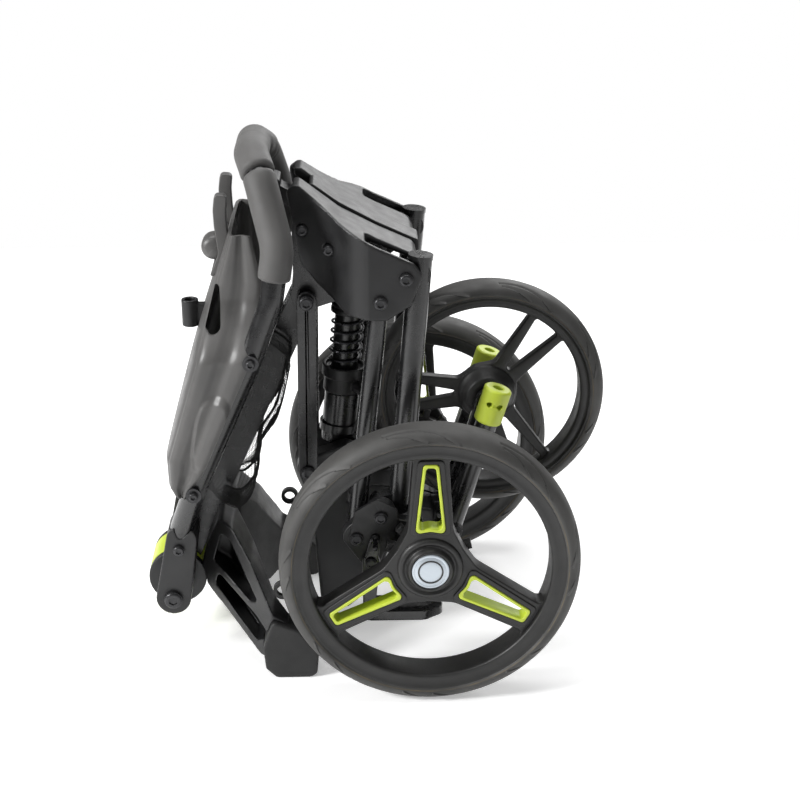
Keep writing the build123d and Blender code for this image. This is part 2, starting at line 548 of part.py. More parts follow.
# ---------------------------------------------------------------- latch and lock lever
def latch_pin():
    return disc(LATCH_PIN, 3, -38.5, 38.5)


def latch():
    """Hook in the bracket mouth that holds the unfolded spine."""
    hook = hull([(LATCH_PIN, 7), ((-88, 459), 6)], -12, 12)
    hook = hook + slab([(-99, 456), (-86, 452), (-84, 470), (-97, 475)], -16, 16, 2)
    hook = hook - disc(LATCH_PIN, 3 + RUN_FIT, -40, 40)
    save("spine_latch", hook)


def main():
    os.makedirs("parts", exist_ok=True)
    rear_wheel()
    front_wheel()
    legs()
    carriers()
    brake_pedal()
    bracket()
    main_tube()
    lock_collar()
    side_bars()
    front_housing()
    front_frame()
    spine()
    handle()
    latch()


main()
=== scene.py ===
import math

import bmesh
import bpy
import numpy as np
from mathutils import Matrix, Vector


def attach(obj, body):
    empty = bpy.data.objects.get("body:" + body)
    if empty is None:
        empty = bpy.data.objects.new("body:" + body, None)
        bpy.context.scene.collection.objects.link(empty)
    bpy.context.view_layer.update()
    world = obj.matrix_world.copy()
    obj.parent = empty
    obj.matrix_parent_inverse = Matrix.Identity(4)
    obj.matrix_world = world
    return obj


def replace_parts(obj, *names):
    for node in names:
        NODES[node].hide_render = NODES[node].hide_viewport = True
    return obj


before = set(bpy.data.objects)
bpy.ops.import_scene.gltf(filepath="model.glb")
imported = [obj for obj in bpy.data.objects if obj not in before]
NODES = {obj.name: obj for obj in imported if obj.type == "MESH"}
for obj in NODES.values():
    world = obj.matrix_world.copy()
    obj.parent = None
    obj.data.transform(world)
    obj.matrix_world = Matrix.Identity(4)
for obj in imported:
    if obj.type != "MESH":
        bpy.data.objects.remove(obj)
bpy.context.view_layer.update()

MM = 0.001
SIDES = (("right", -1), ("left", 1))

# driving places, in millimetres in the trolley's own frame
REAR_AXLE, REAR_Y = (50.0, 140.0), 145.4
FRONT_AXLE = (112.0, 252.0)
HANDLE = [(-196, -50, 84), (-187, -62, 138), (-170, -84, 189), (-112, -84, 321), (-92, -84, 376),
          (-85, -80, 424), (-101, -54, 484), (-109, -26, 497)]
HANDLE_BENDS = [28, 28, 50, 50, 45, 26, 20]


# ---------------------------------------------------------------- materials
# the first colour is painted shade, laid into the tyre grooves in place of their shade; the next two are the
# tyre rubber and the rim dust
GROOVE_PAINTED_SHADE = (0.004, 0.004, 0.004)
TYRE_RUBBER = (0.046, 0.045, 0.043)
RIM_DUST = (0.10, 0.08, 0.05)


def material(name, base, rough, metallic=0.0, grain=1400.0, depth=0.12, blotch=0.25, wear=0.0,
             sheen=0.0, coat=0.0, ring=None, fibre=None, groove_painted_shade=0.0):
    """Procedural finish: fine grain in the bump, slow changes of tone and gloss, rubbed edges, and painted
    shade darkening grooves and hollows.
    """
    mat = bpy.data.materials.new(name)
    mat.use_nodes = True
    nodes, links = mat.node_tree.nodes, mat.node_tree.links
    shader = nodes["Principled BSDF"]
    shader.inputs["Metallic"].default_value = metallic
    shader.inputs["Sheen Weight"].default_value = sheen
    shader.inputs["Coat Weight"].default_value = coat
    shader.inputs["Coat Roughness"].default_value = 0.25
    where = nodes.new("ShaderNodeTexCoord").outputs["Object"]

    def noise(scale, detail):
        node = nodes.new("ShaderNodeTexNoise")
        node.inputs["Scale"].default_value = scale
        node.inputs["Detail"].default_value = detail
        links.new(where, node.inputs["Vector"])
        return node.outputs["Fac"]

    def spread(value, low, high, out_low, out_high):
        node = nodes.new("ShaderNodeMapRange")
        for socket, number in (("From Min", low), ("From Max", high), ("To Min", out_low),
                               ("To Max", out_high)):
            node.inputs[socket].default_value = number
        links.new(value, node.inputs["Value"])
        return node.outputs["Result"]

    def mix(factor, first, second):
        node = nodes.new("ShaderNodeMix")
        node.data_type = "RGBA"
        links.new(factor, node.inputs["Factor"])
        for socket, value in ((node.inputs[6], first), (node.inputs[7], second)):
            if isinstance(value, tuple):
                socket.default_value = (*value, 1.0)
            else:
                links.new(value, socket)
        return node.outputs[2]

    slow = noise(22.0, 4.0)
    dark = tuple(channel * (1 - blotch) for channel in base)
    light = tuple(min(1.0, channel * (1 + blotch)) for channel in base)
    colour = mix(spread(slow, 0.35, 0.65, 0.0, 1.0), dark, light)
    if ring:
        centre, radius, width, tint = ring
        place = nodes.new("ShaderNodeVectorMath")
        place.operation = "SUBTRACT"
        place.inputs[1].default_value = (centre[0] * MM, 0.0, centre[1] * MM)
        links.new(where, place.inputs[0])
        flat = nodes.new("ShaderNodeVectorMath")
        flat.operation = "MULTIPLY"
        flat.inputs[1].default_value = (1.0, 0.0, 1.0)
        links.new(place.outputs[0], flat.inputs[0])
        reach = nodes.new("ShaderNodeVectorMath")
        reach.operation = "LENGTH"
        links.new(flat.outputs[0], reach.inputs[0])
        away = nodes.new("ShaderNodeMath")
        away.operation = "COMPARE"
        away.inputs[1].default_value = radius * MM
        away.inputs[2].default_value = width * MM
        links.new(reach.outputs["Value"], away.inputs[0])
        dust = nodes.new("ShaderNodeMath")
        dust.operation = "MULTIPLY"
        links.new(away.outputs[0], dust.inputs[0])
        links.new(spread(noise(60.0, 6.0), 0.4, 0.62, 0.15, 0.85), dust.inputs[1])
        colour = mix(dust.outputs[0], colour, tint)
    geometry = nodes.new("ShaderNodeNewGeometry")
    # painted shade: darkens the colour where pointiness is low, in grooves and hollows
    if groove_painted_shade:
        painted_groove_shade_mask = spread(geometry.outputs["Pointiness"], 0.43, 0.492, groove_painted_shade, 0.0)
        colour = mix(painted_groove_shade_mask, colour, GROOVE_PAINTED_SHADE)
    if wear:
        edge = nodes.new("ShaderNodeMath")
        edge.operation = "MULTIPLY"
        links.new(spread(geometry.outputs["Pointiness"], 0.53, 0.62, 0.0, wear), edge.inputs[0])
        links.new(spread(noise(140.0, 5.0), 0.42, 0.6, 0.2, 1.0), edge.inputs[1])
        pale = tuple(min(1.0, channel * 2.2 + 0.05) for channel in base)
        colour = mix(edge.outputs[0], colour, pale)
    links.new(colour, shader.inputs["Base Color"])
    links.new(spread(noise(75.0, 5.0), 0.3, 0.7, rough - 0.06, rough + 0.07), shader.inputs["Roughness"])
    bump = nodes.new("ShaderNodeBump")
    bump.inputs["Strength"].default_value = depth
    bump.inputs["Distance"].default_value = 0.0006
    if fibre:
        weave = nodes.new("ShaderNodeTexWave")
        weave.inputs["Scale"].default_value = fibre
        weave.inputs["Distortion"].default_value = 1.5
        links.new(where, weave.inputs["Vector"])
        links.new(weave.outputs["Fac"], bump.inputs["Height"])
    else:
        links.new(noise(grain, 2.0), bump.inputs["Height"])
    links.new(bump.outputs["Normal"], shader.inputs["Normal"])
    return mat


LOOKS = {
    "charcoal_plastic": material("charcoal_plastic", (0.0085, 0.0085, 0.009), 0.42, wear=0.3, depth=0.2),
    "console_plastic": material("console_plastic", (0.085, 0.083, 0.081), 0.40, wear=0.2, depth=0.18,
                                blotch=0.12),
    "black_metal": material("black_metal", (0.0055, 0.0055, 0.006), 0.28, grain=2200.0, depth=0.08,
                            coat=0.35, wear=0.2),
    # both tyres get painted shade in their grooves
    "tyre_rear": material("tyre_rear", TYRE_RUBBER, 0.60, grain=900.0, depth=0.25, wear=0.1, groove_painted_shade=0.9,
                          ring=(REAR_AXLE, 127.6, 0.45, RIM_DUST)),
    "tyre_front": material("tyre_front", TYRE_RUBBER, 0.60, grain=900.0, depth=0.25, wear=0.1, groove_painted_shade=0.9,
                           ring=(FRONT_AXLE, 103.3, 0.4, RIM_DUST)),
    "rim_plastic": material("rim_plastic", (0.011, 0.0108, 0.0105), 0.44, wear=0.3, depth=0.22),
    "lime_plastic": material("lime_plastic", (0.50, 0.60, 0.05), 0.42, blotch=0.06, depth=0.08, wear=0.1),
    "silver_cap": material("silver_cap", (0.50, 0.55, 0.60), 0.38, metallic=0.55, blotch=0.05,
                           grain=2600.0, depth=0.15),
    "steel": material("steel", (0.05, 0.05, 0.052), 0.33, metallic=0.8, blotch=0.15, depth=0.08),
    "spring_steel": material("spring_steel", (0.05, 0.05, 0.055), 0.28, metallic=0.8, blotch=0.2),
    "grip_foam": material("grip_foam", (0.078, 0.076, 0.074), 0.56, grain=2600.0, depth=0.35, sheen=0.12,
                          blotch=0.12),
    "pad_rubber": material("pad_rubber", (0.01, 0.01, 0.01), 0.55, depth=0.3),
    "net_fabric": material("net_fabric", (0.004, 0.004, 0.004), 0.7, fibre=900.0, depth=0.4, sheen=0.02),
    "strap_webbing": material("strap_webbing", (0.02, 0.02, 0.02), 0.7, fibre=700.0, depth=0.6, sheen=0.2),
}


def dress(obj, look):
    obj.data.materials.clear()
    obj.data.materials.append(LOOKS[look])


# ---------------------------------------------------------------- mesh helpers
CIRCLE_STEPS = 96
PLATE_SHARP = 40.0
BEVEL_ANGLE, BEVEL_SEGMENTS = 38, 3
WELD_GAP = 2e-6


def new_object(name, verts, faces, look, body, slot):
    mesh = bpy.data.meshes.new(name)
    mesh.from_pydata([tuple(c * MM for c in v) for v in verts], [], faces)
    mesh.validate()
    bm = bmesh.new()
    bm.from_mesh(mesh)
    bmesh.ops.remove_doubles(bm, verts=bm.verts, dist=1e-7)
    bmesh.ops.recalc_face_normals(bm, faces=bm.faces)
    bm.to_mesh(mesh)
    bm.free()
    mesh.shade_smooth()
    obj = bpy.data.objects.new(name, mesh)
    bpy.context.scene.collection.objects.link(obj)
    return place(obj, look, body, slot)


def place(obj, look, body, slot):
    dress(obj, look)
    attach(obj, body)
    return obj


def crease(obj, degrees=35.0):
    """Sharp edges where faces meet at more than an angle."""
    obj.data.set_sharp_from_angle(angle=math.radians(degrees))
    return obj


def hex_reach(angle):
    """Radius of a hexagon of unit inner radius in a direction."""
    return 1.0 / math.cos(((angle + math.pi / 6) % (math.pi / 3)) - math.pi / 6)


def lathe(name, profile, centre, look, body, slot, steps=160, six=(), closed=True):
    """Turned piece about Y. The profile is (radius, y) points; rows named in six are hexagons."""
    verts, faces = [], []
    rows = len(profile)
    for step in range(steps):
        angle = 2 * math.pi * step / steps
        for row, (radius, y) in enumerate(profile):
            reach = radius * (hex_reach(angle) if row in six else 1.0)
            verts.append((centre[0] + reach * math.cos(angle), y, centre[1] + reach * math.sin(angle)))
    for step in range(steps):
        after = (step + 1) % steps
        for row in range(rows if closed else rows - 1):
            up = (row + 1) % rows
            faces.append((step * rows + row, step * rows + up, after * rows + up, after * rows + row))
    return new_object(name, verts, faces, look, body, slot)


def rounded(points, radii, steps=8):
    """Closed outline with each corner replaced by an arc."""
    out, count = [], len(points)
    for i, corner in enumerate(points):
        radius = radii[i] if isinstance(radii, (list, tuple)) else radii
        here = Vector(corner)
        back, ahead = Vector(points[i - 1]) - here, Vector(points[(i + 1) % count]) - here
        half = back.angle(ahead) / 2
        if radius <= 0 or half > math.radians(88):
            out.append(tuple(here))
            continue
        run = min(radius / math.tan(half), 0.49 * back.length, 0.49 * ahead.length)
        radius = run * math.tan(half)
        start, end = here + back.normalized() * run, here + ahead.normalized() * run
        middle = here + (back.normalized() + ahead.normalized()).normalized() * (radius / math.sin(half))
        first, last = start - middle, end - middle
        sweep = first.angle_signed(last)
        for step in range(steps + 1):
            turned = first.copy()
            turned.rotate(Matrix.Rotation(-sweep * step / steps, 2))
            out.append(tuple(middle + turned))
    return out


def circle(radius):
    turns = [2 * math.pi * i / CIRCLE_STEPS for i in range(CIRCLE_STEPS)]
    return [(radius * math.cos(angle), radius * math.sin(angle)) for angle in turns]


def plate(name, outlines, origin, y_low, y_high, edge, look, body, slot):
    """Flat piece across Y with holes and rounded edges. Outlines are (x, z) about the origin."""
    curve = bpy.data.curves.new(name, "CURVE")
    curve.dimensions = "2D"
    curve.fill_mode = "BOTH"
    for outline in outlines:
        spline = curve.splines.new("POLY")
        spline.points.add(len(outline) - 1)
        for point, (u, v) in zip(spline.points, outline):
            point.co = (u * MM, v * MM, 0.0, 1.0)
        spline.use_cyclic_u = True
    curve.extrude = ((y_high - y_low) / 2 - edge) * MM
    curve.bevel_depth = edge * MM
    curve.bevel_resolution = 3
    curve.offset = -edge * MM
    draft = bpy.data.objects.new(name, curve)
    bpy.context.scene.collection.objects.link(draft)
    bpy.context.view_layer.update()
    mesh = bpy.data.meshes.new_from_object(draft.evaluated_get(bpy.context.evaluated_depsgraph_get()))
    bpy.data.objects.remove(draft)
    stand = Matrix(((1, 0, 0, origin[0] * MM), (0, 0, -1, (y_low + y_high) / 2 * MM),
                    (0, 1, 0, origin[1] * MM), (0, 0, 0, 1)))
    mesh.transform(stand)
    bm = bmesh.new()
    bm.from_mesh(mesh)
    bmesh.ops.remove_doubles(bm, verts=bm.verts, dist=WELD_GAP)
    bmesh.ops.recalc_face_normals(bm, faces=bm.faces)
    bm.to_mesh(mesh)
    bm.free()
    mesh.shade_smooth()
    mesh.set_sharp_from_angle(angle=math.radians(PLATE_SHARP))
    obj = bpy.data.objects.new(name, mesh)
    bpy.context.scene.collection.objects.link(obj)
    return place(obj, look, body, slot)


def turned(outline, degrees):
    c, s = math.cos(math.radians(degrees)), math.sin(math.radians(degrees))
    return [(u * c - v * s, u * s + v * c) for u, v in outline]


def curve_through(controls, samples):
    """Catmull-Rom line through control points, evenly sampled in its parameter."""
    pts = np.array(controls, float)
    pts = np.vstack([2 * pts[0] - pts[1], pts, 2 * pts[-1] - pts[-2]])
    t = np.linspace(0, len(controls) - 1 - 1e-9, samples)
    i = t.astype(int)
    f = (t - i)[:, None]
    a, b, c, d = pts[i], pts[i + 1], pts[i + 2], pts[i + 3]
    return 0.5 * (2 * b + (c - a) * f + (2 * a - 5 * b + 4 * c - d) * f ** 2
                  + (3 * b - a - 3 * c + d) * f ** 3)


def bent_line(points, bends, spacing=2.0):
    """Straight runs joined by rounded bends, evenly sampled."""
    pts = [Vector(p) for p in points]
    line = [pts[0]]
    for i in range(1, len(pts) - 1):
        back, ahead = (pts[i - 1] - pts[i]).normalized(), (pts[i + 1] - pts[i]).normalized()
        half = back.angle(ahead) / 2
        run = bends[i - 1] / math.tan(half)
        start, end = pts[i] + back * run, pts[i] + ahead * run
        for step in range(9):
            f = step / 8
            line.append(start * (1 - f) ** 2 + pts[i] * 2 * f * (1 - f) + end * f ** 2)
    line.append(pts[-1])
    line = np.array([tuple(p) for p in line])
    along = np.concatenate([[0], np.cumsum(np.linalg.norm(np.diff(line, axis=0), axis=1))])
    marks = np.linspace(0, along[-1], int(along[-1] / spacing) + 1)
    return np.stack([np.interp(marks, along, line[:, k]) for k in range(3)], axis=1)


def tube(name, line, radius, look, body, slot, sides=36):
    """Round bar along a line, closed with flat end caps. radius(share, direction) is its reach, in mm."""
    line = np.array(line, float)
    run = np.gradient(line, axis=0)
    run /= np.linalg.norm(run, axis=1)[:, None]
    up = np.cross(run[0], (0.0, 0.0, 1.0))
    if np.linalg.norm(up) < 0.1:
        up = np.cross(run[0], (0.0, 1.0, 0.0))
    verts, faces, count = [], [], len(line)
    for i in range(count):
        up = up - run[i] * up.dot(run[i])
        up /= np.linalg.norm(up)
        side = np.cross(run[i], up)
        for j in range(sides):
            angle = 2 * math.pi * j / sides
            way = up * math.cos(angle) + side * math.sin(angle)
            reach = radius(i / (count - 1), way) if callable(radius) else radius
            verts.append(tuple(line[i] + way * reach))
    for i in range(count - 1):
        for j in range(sides):
            k = (j + 1) % sides
            faces.append((i * sides + j, i * sides + k, (i + 1) * sides + k, (i + 1) * sides + j))
    faces.append(tuple(range(sides)))
    faces.append(tuple((count - 1) * sides + j for j in reversed(range(sides))))
    return new_object(name, verts, faces, look, body, slot)


def soften(node, look, width):
    """Keeps a CAD node and rounds its edges."""
    obj = NODES[node]
    dress(obj, look)
    weld = obj.modifiers.new("weld", "WELD")
    weld.merge_threshold = WELD_GAP
    if width:
        bevel = obj.modifiers.new("edges", "BEVEL")
        bevel.width = width * MM
        bevel.segments = BEVEL_SEGMENTS
        bevel.limit_method = "ANGLE"
        bevel.angle_limit = math.radians(BEVEL_ANGLE)
    normals = obj.modifiers.new("normals", "WEIGHTED_NORMAL")
    normals.weight = 60


def mould(node, look, voxel, passes):
    """Keeps a CAD node and melts its edges to the soft radii of a moulding."""
    obj = NODES[node]
    dress(obj, look)
    weld = obj.modifiers.new("weld", "WELD")
    weld.merge_threshold = WELD_GAP
    melt = obj.modifiers.new("melt", "REMESH")
    melt.mode = "VOXEL"
    melt.voxel_size = voxel * MM
    melt.use_smooth_shade = True
    smooth = obj.modifiers.new("smooth", "SMOOTH")
    smooth.factor = 0.5
    smooth.iterations = passes


def socket_cap(name, centre, y, out, radius, body):
    """Domed collar with a hexagon socket on the end of a pin; out is the sign of Y it faces."""
    socket = radius * 0.48
    rows = [(radius, y), (radius, y + out * 0.5), (radius * 0.94, y + out * 1.1),
            (radius * 0.8, y + out * 1.5), (socket * 1.15, y + out * 1.6), (socket, y + out * 1.45),
            (socket, y + out * 0.1), (0.02, y + out * 0.1)]
    crease(lathe(name, rows, centre, "steel", body, "steel", steps=48, six=(4, 5, 6), closed=False))


def loose_parts(node):
    """Corner lists, in mm, of the separate solids of a CAD node."""
    mesh = NODES[node].data
    keys = [tuple(round(c * 1e5) for c in v.co) for v in mesh.vertices]
    leader = {key: key for key in keys}

    def root(key):
        while leader[key] != key:
            leader[key] = leader[leader[key]]
            key = leader[key]
        return key

    for face in mesh.polygons:
        first = root(keys[face.vertices[0]])
        for index in face.vertices[1:]:
            leader[root(keys[index])] = first
    parts = {}
    for key in leader:
        parts.setdefault(root(key), []).append(key)
    return [np.array(part) / 100.0 for part in parts.values()]


def pin_sockets(node, body):
    """A hexagon socket on each outer end of the pins of a CAD node."""
    for number, part in enumerate(loose_parts(node)):
        ends = (part[:, 1].min(), part[:, 1].max())
        for side, end in zip((-1, 1), ends):
            if part[:, 1].min() * part[:, 1].max() > 0 and abs(end) < np.abs(part[:, 1]).max() - 0.1:
                continue
            face = part[np.abs(part[:, 1] - end) < 0.15]
            low, high = face.min(axis=0), face.max(axis=0)
            radius = (high[0] - low[0]) / 2
            if radius > 2.0:
                socket_cap(f"{node}_socket_{number + 1}_{'right' if side < 0 else 'left'}",
                           ((low[0] + high[0]) / 2, (low[2] + high[2]) / 2), end, side, radius * 0.92, body)


def cut_out(obj, cutter):
    """Takes the cutter's volume out of a piece."""
    knife = obj.modifiers.new("cut", "BOOLEAN")
    knife.operation = "DIFFERENCE"
    knife.solver = "EXACT"
    knife.object = cutter
    bpy.context.view_layer.update()
    mesh = bpy.data.meshes.new_from_object(obj.evaluated_get(bpy.context.evaluated_depsgraph_get()))
    obj.modifiers.clear()
    obj.data = mesh
    bpy.data.objects.remove(cutter)
    return crease(obj, 38)


# ---------------------------------------------------------------- tyres
SIPES = 8                            # pairs of grooves round each tyre
SIPE_TURN = 2 * math.pi / SIPES
GROOVE_DEPTH, GROOVE_WIDTH = 1.9, 1.15
TYRE_STEPS, TYRE_ROWS = 1200, 36


def sipe_lines():
    """One pair of nested crescents as (angle, share down the side) points."""
    t = np.linspace(0, 1, 90)
    long_one = np.stack([-math.radians(29) * t, 0.34 - 0.06 * np.sin(math.pi * t) + 0.56 * t ** 2.1], 1)
    short_one = np.stack([-math.radians(1.5) - math.radians(15) * t, 0.48 + 0.40 * t ** 1.7], 1)
    return np.vstack([long_one, short_one])


def tyre(name, node, centre, y_mid, half_profile, body, look, phase):
    """Tyre with a round tread, cut with pairs of crescent grooves on both shoulders."""
    steps, rows = TYRE_STEPS, TYRE_ROWS
    half = curve_through(half_profile, rows)
    lengths = np.concatenate([[0], np.cumsum(np.linalg.norm(np.diff(half, axis=0), axis=1))])
    share = lengths / lengths[-1]
    angles = np.arange(steps) * 2 * math.pi / steps
    marks = sipe_lines()
    local = (angles[:, None] - phase + 0.6 * SIPE_TURN) % SIPE_TURN - 0.6 * SIPE_TURN
    depth = np.zeros((steps, rows))
    radius = half[:, 1]
    for shift in (0.0, -SIPE_TURN, SIPE_TURN):
        du = (local + shift)[:, :, None] - marks[None, None, :, 0]
        dv = (share[None, :, None] - marks[None, None, :, 1]) * lengths[-1]
        gap = np.sqrt((du * radius[None, :, None]) ** 2 + dv ** 2).min(axis=2)
        depth = np.maximum(depth, GROOVE_DEPTH * np.exp(-(gap / GROOVE_WIDTH) ** 4))
    normal = np.stack([-np.gradient(half[:, 1]), np.gradient(half[:, 0])], 1)
    normal /= np.linalg.norm(normal, axis=1)[:, None]
    verts, faces = [], []
    inner = half[-1][1] - 3.0
    total = 2 * rows + 1
    for i in range(steps):
        ca, sa = math.cos(angles[i]), math.sin(angles[i])
        ring = []
        for k in range(rows - 1, 0, -1):
            ring.append((-half[k][0] - depth[i, k] * normal[k][0], half[k][1] - depth[i, k] * normal[k][1]))
        for k in range(rows):
            ring.append((half[k][0] + depth[i, k] * normal[k][0], half[k][1] - depth[i, k] * normal[k][1]))
        ring.append((half[-1][0] - 3.5, inner))
        ring.append((-half[-1][0] + 3.5, inner))
        verts += [(centre[0] + r * ca, y_mid + y, centre[1] + r * sa) for y, r in ring]
    for i in range(steps):
        j = (i + 1) % steps
        for k in range(total):
            m = (k + 1) % total
            faces.append((i * total + k, i * total + m, j * total + m, j * total + k))
    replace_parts(new_object(name, verts, faces, look, body, "tyre_rubber"), node)


# (distance from the mid-plane, radius) from the crown of the tread to the rim, in mm
REAR_TREAD = [(0, 140), (6, 139.6), (12, 138.1), (16.4, 135.2), (19, 131.6), (19.6, 129), (18.9, 127.6)]
FRONT_TREAD = [(0, 115), (5.4, 114.6), (10.8, 113.2), (14.8, 110.6), (17.1, 107.4), (17.6, 105),
               (16.9, 103.2)]


# ---------------------------------------------------------------- rims
def rim_ring(name, centre, y_mid, joint, inner, edge, look, body):
    """Turned rim: two lips that grip the tyre and a well between them."""
    half = [(inner, 0.0), (inner, edge - 4.5), (inner + 0.5, edge - 1.7), (inner + 2.2, edge - 0.5),
            (inner + 5.5, edge - 1.0), (inner + 9.0, edge - 1.1), (joint - 3.2, edge - 0.4),
            (joint - 1.6, edge + 0.3), (joint - 0.1, edge - 0.1), (joint + 0.1, edge - 2.0),
            (joint - 2.8, edge - 2.6), (joint - 2.8, 0.0)]
    profile = half + [(r, -y) for r, y in reversed(half[1:-1])]
    return lathe(name, [(r, y_mid + y) for r, y in profile], centre, look, body, "charcoal_plastic",
                 steps=200)


def arc_points(radius, start, end, steps):
    return [(radius * math.cos(math.radians(start + (end - start) * i / steps)),
             radius * math.sin(math.radians(start + (end - start) * i / steps))) for i in range(steps + 1)]


def polar(point):
    return math.hypot(*point), math.degrees(math.atan2(point[1], point[0]))


def gap_outline(first, second, inner_points, reach, radii):
    """Opening between two spoke edges. An edge is (point at the hub, point at the rim)."""
    start, end = polar(first[1])[1], polar(second[1])[1]
    if end < start:
        end += 360
    arc = arc_points(reach, start, end, 12)[1:-1]
    points = [first[0], first[1]] + arc + [second[1], second[0]] + inner_points
    rounding = [radii[0], radii[1]] + [0] * len(arc) + [radii[1], radii[0]] + [radii[0]] * len(inner_points)
    return rounded(points, rounding)


REAR_SPOKES = (90, 210, 330)
BRAKE_TEETH = 12
BRAKE_TOOTH = ((32, -6.2), (41, -4.9), (41, 4.9), (32, 6.2))      # (radius in mm, degrees from its middle)


def rear_gap(turn):
    """Air gap that follows the rear spoke at an angle."""
    upper = turned([(38, 21), (112.4, 16)], turn)
    lower = turned([(38, -21), (112.4, -16)], turn + 120)
    middle = turned([(35.5, 0)], turn + 60)
    return gap_outline(upper, lower, middle, 113.5, (24, 9))


def insert_window(turn, inset=0.0):
    outline = [(36 + inset, -14 + inset), (105 - inset, -7 + inset * 0.9), (105 - inset, 7 - inset * 0.9),
               (36 + inset, 14 - inset), (38.5 + inset, 0)]
    return turned(rounded(outline, [4, 3.2, 3.2, 4, 14]), turn)


def rear_wheel(side, sign):
    body = "rear_wheel_" + side
    middle = sign * REAR_Y

    def span(low, high):
        """From distances outwards of the wheel's mid-plane to a pair of y values."""
        ends = (middle + sign * low, middle + sign * high)
        return min(ends), max(ends)

    tyre("tyre_" + side, "rear_tyre_" + side, REAR_AXLE, middle, REAR_TREAD, body, "tyre_rear",
         math.radians(18))
    ring = rim_ring("rim_" + side, REAR_AXLE, middle, 127.2, 112.0, 17.0, "rim_plastic", body)
    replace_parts(ring, "rear_rim_" + side)
    gaps = [rear_gap(turn) for turn in REAR_SPOKES]
    windows = [insert_window(turn, -0.2) for turn in REAR_SPOKES]
    plate("spokes_" + side, [circle(118)] + gaps + windows, REAR_AXLE, *span(-9, 10.6), 1.6,
          "rim_plastic", body, "charcoal_plastic")
    for number, turn in enumerate(REAR_SPOKES):
        rib = turned(rounded([(33, -19), (109, -11.8), (109, 11.8), (33, 19), (35.5, 0)],
                             [5, 4, 4, 5, 22]), turn)
        plate(f"spoke_rib_{side}_{number + 1}", [rib, insert_window(turn, -0.2)], REAR_AXLE, *span(9, 12.2),
              0.9, "rim_plastic", body, "charcoal_plastic")
        lime = plate(f"spoke_insert_{side}_{number + 1}", [insert_window(turn), insert_window(turn, 2.9)],
                     REAR_AXLE, *span(-5, 13.2), 0.8, "lime_plastic", body, "lime_plastic")
        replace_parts(lime, "spoke_inserts_" + side)

    def y(distance):
        return middle + sign * distance

    hub = [(6.4, y(-16)), (29.5, y(-16)), (31, y(-14)), (31, y(8)), (30.4, y(12)), (29.4, y(13.6)),
           (27.4, y(14.6)), (25.6, y(14.3)), (24.2, y(12.8)), (22.6, y(12.6)), (21.6, y(14.5)),
           (20.6, y(17.5)), (19.4, y(18.6)), (18.2, y(18.4)), (17.6, y(16.8)), (6.4, y(16.8))]
    lathe("hub_" + side, hub, REAR_AXLE, "rim_plastic", body, "charcoal_plastic")
    medal = [(0.02, y(14)), (17.3, y(14)), (17.3, y(17.6)), (16.9, y(18.1)), (15.2, y(18.3)),
             (14.9, y(18.05)), (14.5, y(18.05)), (14.2, y(18.35)), (7, y(18.8)), (0.02, y(19))]
    cap = crease(lathe("medallion_" + side, medal, REAR_AXLE, "silver_cap", body, "silver_cap"), 50)
    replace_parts(cap, "hub_cap_" + side)
    line = [(10.4, y(18.2)), (10.4, y(19.0)), (11.8, y(19.0)), (11.8, y(18.2))]
    lathe("medallion_line_" + side, line, REAR_AXLE, "rim_plastic", body, "charcoal_plastic", steps=96)
    teeth = []
    for step in range(BRAKE_TEETH):
        middle_angle = (step + 0.5) * 360 / BRAKE_TEETH
        teeth += [(r * math.cos(math.radians(middle_angle + d)), r * math.sin(math.radians(middle_angle + d)))
                  for r, d in BRAKE_TOOTH]
    plate("brake_ring_" + side, [teeth, circle(30)], REAR_AXLE, *span(-22, -13), 0.6, "rim_plastic", body,
          "charcoal_plastic")


FRONT_SPOKES = (50, 180, 300)
SPOKE_ROOT = 27 * math.sin(math.radians(26))      # half width of a front spoke at the hub
SPOKE_TIP = 94 * math.sin(math.radians(11))       # half width of a front spoke at the rim
SPOKE_WALL = 3.6


def spoke_window(turn):
    """Opening down the middle of a front spoke."""
    outline = [(33, 9 - SPOKE_ROOT), (88.5, 4.4 - SPOKE_TIP), (90.5, 0), (88.5, SPOKE_TIP - 4.4),
               (33, SPOKE_ROOT - 9), (30.5, 0)]
    return turned(rounded(outline, [4, 3, 8, 3, 4, 10]), turn)


def front_gap(turn, step):
    """Air gap that follows the front spoke at an angle, up to the next spoke a step on."""
    upper = turned([(28, SPOKE_ROOT + 3.2), (90, SPOKE_TIP + SPOKE_WALL)], turn)
    lower = turned([(28, -SPOKE_ROOT - 3.2), (90, -SPOKE_TIP - SPOKE_WALL)], turn + step)
    return gap_outline(upper, lower, turned([(29.5, 0)], turn + step / 2), 92.5, (9, 7))


def front_wheel():
    body = "front_wheel"
    tyre("tyre_front", "front_tyre", FRONT_AXLE, 0.0, FRONT_TREAD, body, "tyre_front", math.radians(40))
    ring = rim_ring("rim_front", FRONT_AXLE, 0.0, 102.7, 91.0, 15.0, "rim_plastic", body)
    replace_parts(ring, "front_rim")
    openings = [spoke_window(turn) for turn in FRONT_SPOKES]
    for index, turn in enumerate(FRONT_SPOKES):
        after = FRONT_SPOKES[(index + 1) % len(FRONT_SPOKES)]
        openings.append(front_gap(turn, (after - turn) % 360))
    plate("spokes_front", [circle(95.5)] + openings, FRONT_AXLE, -5.5, 5.5, 1.8, "rim_plastic", body,
          "charcoal_plastic")
    hub = [(6.4, -19.5), (19, -19.5), (21, -18), (23, -12), (26.5, -8), (28.4, -6), (28.4, 6), (26.5, 8),
           (23, 12), (21, 18), (19, 19.5), (6.4, 19.5)]
    lathe("hub_front", hub, FRONT_AXLE, "rim_plastic", body, "charcoal_plastic")


